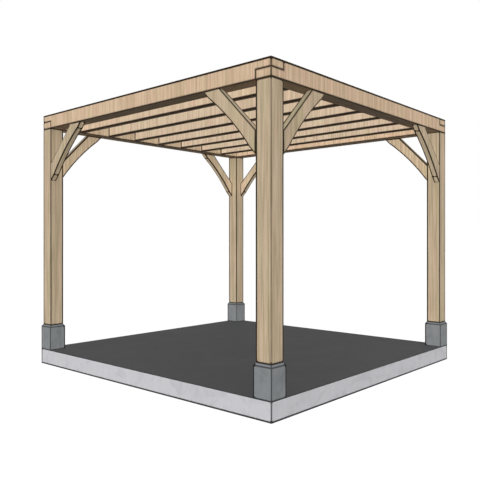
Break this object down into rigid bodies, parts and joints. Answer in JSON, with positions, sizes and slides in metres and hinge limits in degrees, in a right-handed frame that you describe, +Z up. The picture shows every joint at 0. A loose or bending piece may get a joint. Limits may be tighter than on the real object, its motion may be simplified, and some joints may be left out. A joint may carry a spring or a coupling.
{
  "type": "wooden pergola",
  "caption": "Open garden pergola: square posts on padstones carry a ring of half-lapped beams with arched braces and roof joists, all on a raised base slab.",
  "frame": {"origin": "middle of the base slab's underside, on the ground", "axes": "+X along the front to the right, +Y from the front to the back, +Z up"},
  "size_m": [3.15, 3.21, 2.69],
  "materials": {
    "frame_timber": "planed pale timber with fine straight grain, matt",
    "joist_timber": "planed pale timber with fine straight grain, matt",
    "padstone": "honed grey stone, matt",
    "base_concrete": "smooth struck concrete with soft clouding, matt",
    "base_surface": "fine dark charcoal surfacing, matt"
  },
  "bodies": {
    "root": {"base_slab": "base_concrete", "base_surface": "base_surface", "padstone_front_left": "padstone", "padstone_front_right": "padstone", "padstone_back_left": "padstone", "padstone_back_right": "padstone", "post_front_left": "frame_timber", "post_front_right": "frame_timber", "post_back_left": "frame_timber", "post_back_right": "frame_timber", "beam_front": "frame_timber", "beam_back": "frame_timber", "beam_left": "frame_timber", "beam_right": "frame_timber", "brace_front_left": "frame_timber", "brace_front_right": "frame_timber", "brace_back_left": "frame_timber", "brace_back_right": "frame_timber", "brace_left_front": "frame_timber", "brace_left_back": "frame_timber", "brace_right_front": "frame_timber", "brace_right_back": "frame_timber", "joist_1": "joist_timber", "joist_2": "joist_timber", "joist_3": "joist_timber", "joist_4": "joist_timber", "joist_5": "joist_timber", "joist_6": "joist_timber", "joist_7": "joist_timber"}
  },
  "joints": []
}
